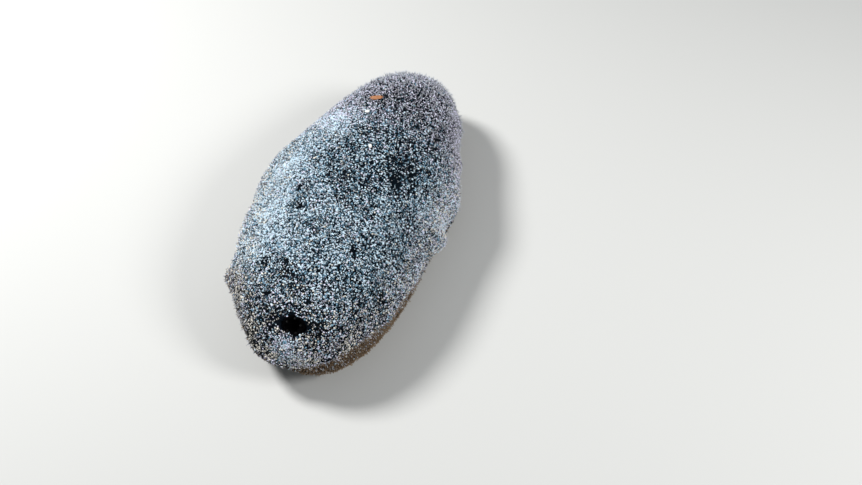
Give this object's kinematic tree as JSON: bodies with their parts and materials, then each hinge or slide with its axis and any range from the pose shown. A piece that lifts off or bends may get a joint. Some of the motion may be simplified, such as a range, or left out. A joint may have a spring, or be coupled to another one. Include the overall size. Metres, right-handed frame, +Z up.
{
  "type": "black teatfish sea cucumber, still life-size model",
  "caption": "Life-size loaf-shaped sea cucumber, black and dusted with pale sand, with low side teats, a dark hind opening and a flat creeping sole it rests on.",
  "frame": {"origin": "on the floor under the middle of the body's length, on the flat of the sole", "axes": "+X from the hind end towards the head end, +Y to the animal's left, +Z up"},
  "size_m": [0.2822, 0.1521, 0.0845],
  "materials": {
    "back_skin": "wet, leathery black skin under a thin dusting of pale sand",
    "teat_skin": "wet, leathery black skin, dusted with sand like the back",
    "sole_skin": "wet grey-brown skin set with small tube feet",
    "opening_skin": "wet smooth black skin of the openings and tentacles",
    "sand": "dry pale coral sand grains",
    "shell": "matt orange-brown shell flake"
  },
  "bodies": {
    "root": {"teat_left_1": "teat_skin", "teat_left_2": "teat_skin", "teat_left_3": "teat_skin", "teat_left_4": "teat_skin", "teat_left_5": "teat_skin", "teat_left_6": "teat_skin", "teat_right_1": "teat_skin", "teat_right_2": "teat_skin", "teat_right_3": "teat_skin", "teat_right_4": "teat_skin", "teat_right_5": "teat_skin", "teat_right_6": "teat_skin", "hind_end": "back_skin", "trunk_rear": "back_skin", "trunk_middle": "back_skin", "trunk_front": "back_skin", "head_end": "back_skin", "sole_rear": "sole_skin", "sole_middle": "sole_skin", "sole_front": "sole_skin", "vent_rim": "opening_skin", "mouth_collar": "opening_skin", "tentacle_crown": "opening_skin"}
  },
  "joints": []
}
